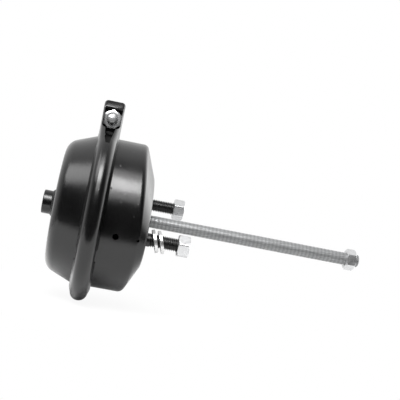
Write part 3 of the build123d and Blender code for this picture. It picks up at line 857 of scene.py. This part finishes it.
# -------------------------------- diaphragm and push rod
# The rubber diaphragm's bead is pinched between the flanges and its cup lies in the bowl. A pressed disc
# rests on it and carries the zinc-plated rod, threaded all along, with a jam nut near its tip.
rubber = 3.6 * mm
rubber_back_x = -107.5 * mm
rubber_root_r = 90.08 * mm  # where the bead ends
rubber_bend = (7.9 * mm, 88.4 * mm)  # start of the sloping wall's outside, from the clamp plane
rubber_wall = (1.9 * mm, 86.92 * mm)  # and of its inside
rubber_floor_r = 74.68 * mm
rubber_floor_draft = 2.4 * mm  # the inside's floor is this much narrower
rubber_round = 10.0 * mm
rubber_span = 3.0 * mm  # its skin is divided about this finely
bead_half_edge = 4.2 * mm
bead_edge_r = 99.85 * mm
disc_x = -103.6 * mm
disc_r = 60.7 * mm
disc_thick = 4.0 * mm
disc_lip = 7.0 * mm
disc_round = 4.5 * mm
disc_edge = 0.8 * mm
rod_crest_r = 7.9 * mm
rod_start = disc_x + disc_thick
rod_tip = 274.3 * mm
rod_pitch = 1.411 * mm  # 18 threads to the inch
rod_thread = 0.8 * mm
rod_steps = 40
rod_weld_leg = 6.0 * mm
rod_weld_steps = 240
rod_weld_sunk = 0.1 * mm
rod_nut_x = (257.5 * mm, 269.2 * mm)
rod_nut_af = 23.8 * mm

# painted shade: the rubber is darker than black rubber, so that the bead seen down the clamp band's groove
# stays as black as the shadow in that slot
rubber_darkened_for_shade = moulded("diaphragm_rubber", 0.006, 0.85, 700.0)
cup = rounded([
    ((clamp_plane + wedge_s(bead_half_edge, bead_edge_r), bead_edge_r), 1.0 * mm),
    ((clamp_plane - wedge_s(bead_half_edge, bead_edge_r), bead_edge_r), 1.0 * mm),
    ((clamp_plane - wedge_s(bead_half_edge, rubber_root_r), rubber_root_r), 0.8 * mm),
    ((clamp_plane - rubber_bend[0], rubber_bend[1]), 1.0 * mm),
    ((rubber_back_x, rubber_floor_r), rubber_round + rubber),
    ((rubber_back_x, middle), 0),
    ((rubber_back_x + rubber, middle), 0),
    ((rubber_back_x + rubber, rubber_floor_r - rubber_floor_draft), rubber_round),
    ((clamp_plane - rubber_wall[0], rubber_wall[1]), 2.0 * mm),
    ((clamp_plane + wedge_s(bead_half_edge, rubber_root_r), rubber_root_r), 0.8 * mm),
], steps=8)
dense = []
for here, onward in zip(cup, cup[1:] + cup[:1]):
    pieces = max(1, round((onward - here).length / rubber_span))
    dense += [here.lerp(onward, step / pieces) for step in range(pieces)]
diaphragm = make_piece("diaphragm_moulding", *spun(dense, 144), rubber_darkened_for_shade)
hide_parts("diaphragm")
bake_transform(diaphragm)

bare_steel = plated("phosphated_steel", (0.2, 0.2, 0.205), 0.7, 0.5)
disc = rounded([((disc_x, middle), 0), ((disc_x, disc_r), disc_round),
                ((disc_x + disc_lip, disc_r), disc_edge),
                ((disc_x + disc_lip, disc_r - disc_thick), disc_edge),
                ((disc_x + disc_thick, disc_r - disc_thick), 1.5 * mm), ((disc_x + disc_thick, middle), 0)],
               closed=False, steps=6)
push_plate = make_piece("push_plate_pressing", *spun(disc, 128, closed=False), bare_steel)
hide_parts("push_plate")
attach(push_plate, "rod_assembly")

weld_rings = []
for step in range(rod_weld_steps):
    angle = 2 * pi * step / rod_weld_steps
    leg = rod_weld_leg * (0.92 + 0.08 * abs(sin(15 * angle)))
    root = (rod_start - rod_weld_sunk, rod_crest_r - weld_root)
    weld_rings.append(turned([*bead(root, leg, leg, 0.2), root], angle))
rod_weld = make_piece("rod_weld_bead", *looped(weld_rings), bare_steel, 60)
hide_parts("rod_weld")
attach(rod_weld, "rod_assembly")


def rolled_zinc(name, colour):
    """Dull zinc on a rolled thread, with painted shade that darkens its roots and a painted highlight in
    faint bands a few turns wide, like the beads of light on its crests.
    """
    plate = Finish(name)
    reckon = reckoner(plate.add)
    # painted shade: the zinc's colour darkens from the crests down to the roots
    height = root_share(plate, (0, 0), rod_crest_r - rod_thread, rod_crest_r)
    # painted highlight: rings about 5 mm apart lighten the colour along the rod, standing in for the beads of
    # light on its crests
    wave = plate.add("ShaderNodeTexWave", Vector=plate.place, Scale=64.5, Distortion=0.6, Detail=1.0)
    painted_highlight_bands = wave.outputs["Fac"]
    share = plate.spread(reckon("MULTIPLY", height, painted_highlight_bands), 0.0, 0.8, 0.1, 1.0)
    gloss = plate.spread(reckon("MULTIPLY", painted_highlight_bands, plate.cloud(230.0, 3.0)), 0.0, 0.5, 0.54, 0.42)
    tone = plate.tone(share, [c * 0.62 for c in colour], colour)
    return plate.done(tone, gloss, plate.bump(plate.cloud(1500.0), 0.1, 0.05 * mm), Metallic=0.7)


rod_zinc = rolled_zinc("rolled_zinc", (0.48, 0.485, 0.49))
shank = [(rod_start, middle), (rod_start, rod_crest_r - thread_step)]
tip = [(rod_tip, rod_crest_r - end_chamfer), (rod_tip, middle)]
push_rod = threaded_bar("push_rod_bar", shank, tip, rod_steps, rod_zinc, crest_radius=rod_crest_r,
                        depth=rod_thread, pitch=rod_pitch)
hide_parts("push_rod")
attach(push_rod, "rod_assembly")

flats = hexagon(*rod_nut_x, rod_nut_af, rod_crest_r + nut_play, pi / 6)
rod_nut = make_piece("rod_nut_hexagon", *flats, zinc)
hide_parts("rod_nut")
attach(rod_nut, "rod_assembly")

# -------------------------------- clamp band
# A channel of thick strip rolled round both flanges, with relief notches low down in its legs. Its ends are
# pressed out into square ears, each with a pocket for the nut or the bolt's head and a tapered groove.
clamp_sheet = 3.4 * mm
crest_r = 111.2 * mm
lip_r = 95.0 * mm
leg_outer = 11.447 * mm
leg_inner = 7.872 * mm
clamp_bend = 10.2 * mm
lip_round = 1.1 * mm
notch_turn = radians(119.5)
notch_length = 16.5 * mm
notch_depth = 4.5 * mm
notch_fade = 1.0 * mm  # over which its ends run out
ear_gap = 8.0 * mm
ear_seat = 9.0 * mm  # front of the plate that the nut bears on
ear_front = 15.0 * mm
ear_top = 136.4 * mm
ear_front_top = 129.5 * mm
roof_bevel = 0.35 * mm  # how far the roof's front edge is blunted
roof_bevel_lean = radians(20)
ear_half_width = 12.8 * mm
ear_tangent = radians(38)
ear_round = 4.5 * mm
bolt_height = 113.5 * mm
pocket_half = 11.0 * mm
pocket_low = 100.88 * mm
pocket_high = 126.12 * mm
pocket_round = 5.0 * mm
bolt_hole_r = 6.85 * mm
groove_half_wide = 4.6 * mm
groove_half_narrow = 1.8 * mm
groove_run = 30.0 * mm
groove_depth = 16.0 * mm  # it opens through the strip
ear_shy = 0.02 * mm  # the ears' outline stays this far inside the strip's
hollow_r = 83.0 * mm  # the ears are hollowed down to here, well below the lips
band_steps = 360


def arched(half):
    """One side's corners, as (distance from the clamp plane, height, round), and then their mirror images."""
    left = [((clamp_plane - away, height), bend) for away, height, bend in half]
    return left + [((clamp_plane + away, height), bend) for away, height, bend in reversed(half)]


def band_section(lip):
    """Closed (x, radius) outline of the channel with its lips at one radius."""
    inner_crest = crest_r - clamp_sheet
    outside = arched([(wedge_s(leg_outer, lip), lip, lip_round),
                      (wedge_s(leg_outer, crest_r), crest_r, clamp_bend)])
    inside = arched([(wedge_s(leg_inner, lip), lip, lip_round),
                     (wedge_s(leg_inner, inner_crest), inner_crest, clamp_bend - clamp_sheet)])
    return rounded(outside + inside[::-1])


def lip_at(turn):
    """Radius of the lips at one turn from the ears: cut back in the two notches, with soft ends."""
    run = abs(abs(turn) - notch_turn) * lip_r - notch_length / 2
    inside = min(max(0.5 - run / notch_fade, 0), 1)
    return lip_r + notch_depth * inside * inside * (3 - 2 * inside)


turns = [2 * pi * step / band_steps - pi for step in range(band_steps)]
for notch in (notch_turn, -notch_turn):
    for side in (-1, 1):
        end = notch + side * notch_length / 2 / lip_r
        turns += [end + share * notch_fade / lip_r for share in (-0.5, -0.25, 0.0, 0.25, 0.5)]
rings = []
for turn in sorted(turns):
    rings.append([(x, -r * sin(turn), r * cos(turn)) for x, r in band_section(lip_at(turn))])
clamp_band = make_piece("clamp_band_strip", *looped(rings), enamel)


def ear(side):
    """Solid ear: the channel's outline at the tangent point, drawn out into the square roofed plate."""
    foot = wedge_s(leg_outer, lip_r) - ear_shy
    crown = wedge_s(leg_outer, crest_r)
    outer = rounded(arched([(foot, lip_r + ear_shy, 0), (crown, crest_r - ear_shy, clamp_bend)]))
    rings = [[(x, -r * sin(ear_tangent), r * cos(ear_tangent)) for x, r in outer]]
    for y, top in ((ear_front, ear_front_top), (ear_seat, ear_top), (ear_gap / 2, ear_top)):
        square = arched([(ear_half_width, lip_r, 0), (ear_half_width, top, ear_round)])
        rings.append([(x, -y, z) for x, z in rounded(square)])
    skin, faces = lofted(rings)
    piece = make_piece("ear", [(x, side * y, z) for x, y, z in skin], faces, enamel)
    mid_leg = (leg_inner + leg_outer) / 2
    mid_crest = crest_r - clamp_sheet / 2
    channel = arched([(wedge_s(mid_leg, hollow_r), hollow_r, 0),
                      (wedge_s(mid_leg, mid_crest), mid_crest, clamp_bend - clamp_sheet / 2)])
    return carved(piece, [make_piece("channel", *spun(rounded(channel), band_steps), enamel)])


def ear_cutters(side):
    """Nut pocket, its opening upwards in front of the roof, bolt hole and groove of one ear, as cutters.

    Their outer ends lie anywhere clear of the ear.
    """
    made = []
    # the two cutters' rounds differ by a hair, so that no two faces coincide
    for start, top, bend in ((ear_seat, pocket_high, 0.999 * pocket_round),
                             (ear_front, ear_top + 5 * mm, pocket_round)):
        shape = rounded(arched([(pocket_half, top, 0), (pocket_half, pocket_low, bend)]), steps=8)
        ends = [[(x, -side * y, z) for x, z in shape] for y in (start, 90 * mm)]
        made.append(make_piece("pocket_cutter", *lofted(ends), enamel))
    bevel = block("bevel_cutter", (clamp_plane - 2 * pocket_half, -20 * mm, -3 * mm),
                  (clamp_plane + 2 * pocket_half, -roof_bevel, 3 * mm), enamel)
    bevel.data.transform(Matrix.Rotation(-roof_bevel_lean, 4, "X"))
    bevel.data.transform(Matrix.Translation((0, -ear_front + 2 * roof_bevel, ear_front_top)))
    bevel.data.transform(Matrix.Scale(side, 4, (0, 1, 0)))
    made.append(bevel)
    made.append(drill("bolt_cutter", bolt_hole_r, Vector((clamp_plane, 0, bolt_height)), (0, -side, 0),
                      4 * ear_seat, enamel))
    top = (pocket_low - crest_r * cos(ear_tangent)) / sin(ear_tangent)
    ends = []
    # its sides flare outwards: this share of its width at its bottom, and this well above the strip
    for height, flare_out in ((crest_r - groove_depth, 0.9375), (crest_r + 25 * mm, 2.0)):
        ring = []
        for half, along in ((-groove_half_wide, top + 1 * mm), (groove_half_wide, top + 1 * mm),
                            (groove_half_narrow, top - groove_run), (-groove_half_narrow, top - groove_run)):
            y = -height * sin(ear_tangent) + along * cos(ear_tangent)
            z = height * cos(ear_tangent) + along * sin(ear_tangent)
            ring.append((clamp_plane + half * flare_out, side * y, z))
        ends.append(ring)
    made.append(make_piece("groove_cutter", *lofted(ends), enamel))
    return made


carved(clamp_band, [ear(1), ear(-1)], "UNION")
gap = block("gap_cutter", (clamp_plane - 40 * mm, -ear_gap / 2, 60 * mm),
            (clamp_plane + 40 * mm, ear_gap / 2, 150 * mm), enamel)
carved(clamp_band, [gap] + ear_cutters(1) + ear_cutters(-1), smooth_angle=40)
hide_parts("clamp_band")
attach(clamp_band, "chamber")

# -------------------------------- clamp bolt and nut
# A zinc-plated half-inch bolt draws the ears together. Its head sits in the far pocket and its nut in the
# near one, both with a point of the hexagon outwards.
bolt_r = 6.35 * mm
bolt_end = 26.1 * mm
bolt_dome = 1.6 * mm  # height of its rounded end
bolt_pitch = 1.954 * mm  # 13 threads to the inch
bolt_thread = 1.1 * mm
bolt_head_height = 9.0 * mm
clamp_seat = 9.1 * mm
clamp_nut_af = 21.0 * mm
clamp_nut_height = 12.0 * mm
bolt_steps = 48

bolt_zinc = plated("clamp_bolt_zinc", (0.58, 0.585, 0.59), 0.75, 0.28)
towards_near = Matrix.Translation((clamp_plane, 0, bolt_height)) @ Matrix.Rotation(-pi / 2, 4, "Z")
shank = [(-clamp_seat, middle), (-clamp_seat, bolt_r), (-clamp_seat + thread_lead, bolt_r)]
dome = [(bolt_end - bolt_dome * (1 - sin(lean)), (bolt_r - end_chamfer) * cos(lean) + middle)
        for lean in [pi / 12 * part for part in range(7)]]
clamp_bolt = threaded_bar("clamp_bolt_bar", shank, dome, bolt_steps, bolt_zinc, crest_radius=bolt_r,
                          depth=bolt_thread, pitch=bolt_pitch)
flats = hexagon(-clamp_seat - bolt_head_height, -clamp_seat, clamp_nut_af, middle, pi / 6,
                countersink=0.0)
carved(clamp_bolt, [make_piece("head", *flats, bolt_zinc)], "UNION")
clamp_bolt.data.transform(towards_near)
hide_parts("clamp_bolt")
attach(clamp_bolt, "chamber")

flats = hexagon(clamp_seat, clamp_seat + clamp_nut_height, clamp_nut_af, bolt_r + nut_play, pi / 6)
clamp_nut = make_piece("clamp_nut_hexagon", *flats, bolt_zinc)
clamp_nut.data.transform(towards_near)
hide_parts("clamp_nut")
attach(clamp_nut, "chamber")
